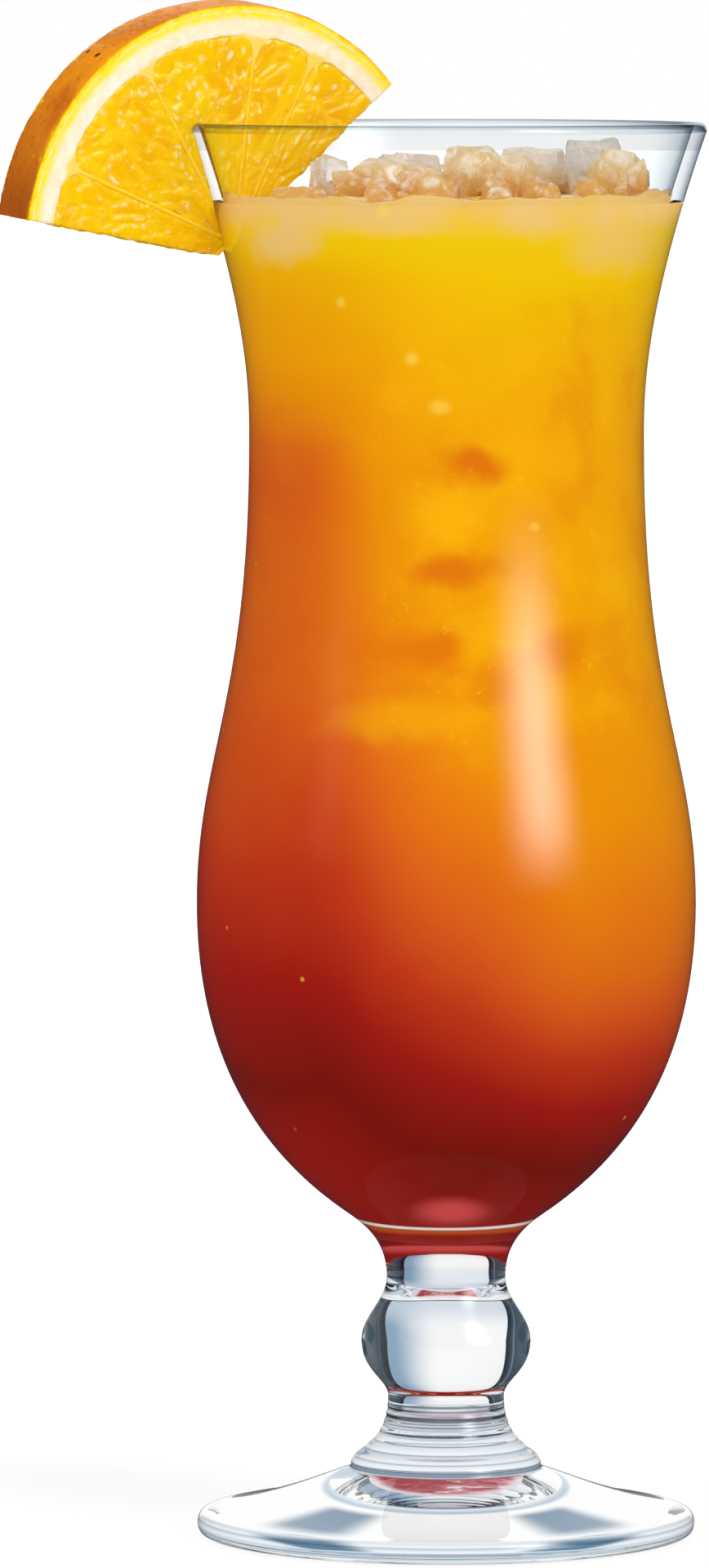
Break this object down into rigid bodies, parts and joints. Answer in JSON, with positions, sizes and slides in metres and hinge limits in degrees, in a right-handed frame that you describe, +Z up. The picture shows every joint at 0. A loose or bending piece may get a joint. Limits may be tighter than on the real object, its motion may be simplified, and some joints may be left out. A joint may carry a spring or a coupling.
{
  "type": "hurricane glass",
  "caption": "Footed hurricane glass with flared rim, narrow waist and knopped stem, filled with a layered drink, crushed ice and an orange wedge that lifts off the rim.",
  "frame": {"origin": "centre of the ring the foot stands on, at table level, on the axis of the glass", "axes": "+Z up along the axis of the glass; -Y towards the viewer of the front; -X towards the orange wedge"},
  "size_m": [0.1018, 0.0748, 0.2217],
  "materials": {
    "glass": "clear, fire polished",
    "syrup": "dark red liquid",
    "mixed_drink": "orange red liquid, cloudy",
    "juice": "orange to yellow liquid, cloudy",
    "ice": "wet, partly clear",
    "peel": "dimpled, satin",
    "pith": "soft, matte",
    "pulp": "wet, juicy"
  },
  "bodies": {
    "glass": {"bowl_mouth": "glass", "bowl_waist": "glass", "bowl_base": "glass", "stem": "glass", "collar": "glass", "foot": "glass", "grenadine_layer": "syrup", "blend_layer": "mixed_drink", "juice_layer": "juice", "ice_sunk_upper": "ice", "ice_sunk_middle": "ice", "ice_sunk_lower": "ice", "ice_sunk_back": "ice"},
    "floating_ice": {"ice_slab_back": "ice", "ice_tan_lump": "ice", "ice_shard": "ice", "ice_slab_right": "ice", "ice_peach_slab": "ice", "ice_clear_cube": "ice", "ice_scallop": "ice", "ice_edge_lump": "ice", "ice_oval_lump": "ice", "ice_chip": "ice", "ice_back_lump": "ice", "ice_back_shard": "ice"},
    "orange_wedge": {"orange_peel": "peel", "orange_pith": "pith", "pulp_lower_left": "pulp", "pulp_left": "pulp", "pulp_top": "pulp", "pulp_upper_right": "pulp", "pulp_right": "pulp"}
  },
  "joints": [
    {"name": "wedge_lift", "type": "slide", "parent": "glass", "child": "orange_wedge", "axis": [-0.2873, 0, 0.9578], "range_m": [0, 0.05]},
    {"name": "ice_scoop", "type": "slide", "parent": "glass", "child": "floating_ice", "axis": [0, 0, 1], "range_m": [0, 0.06]}
  ]
}
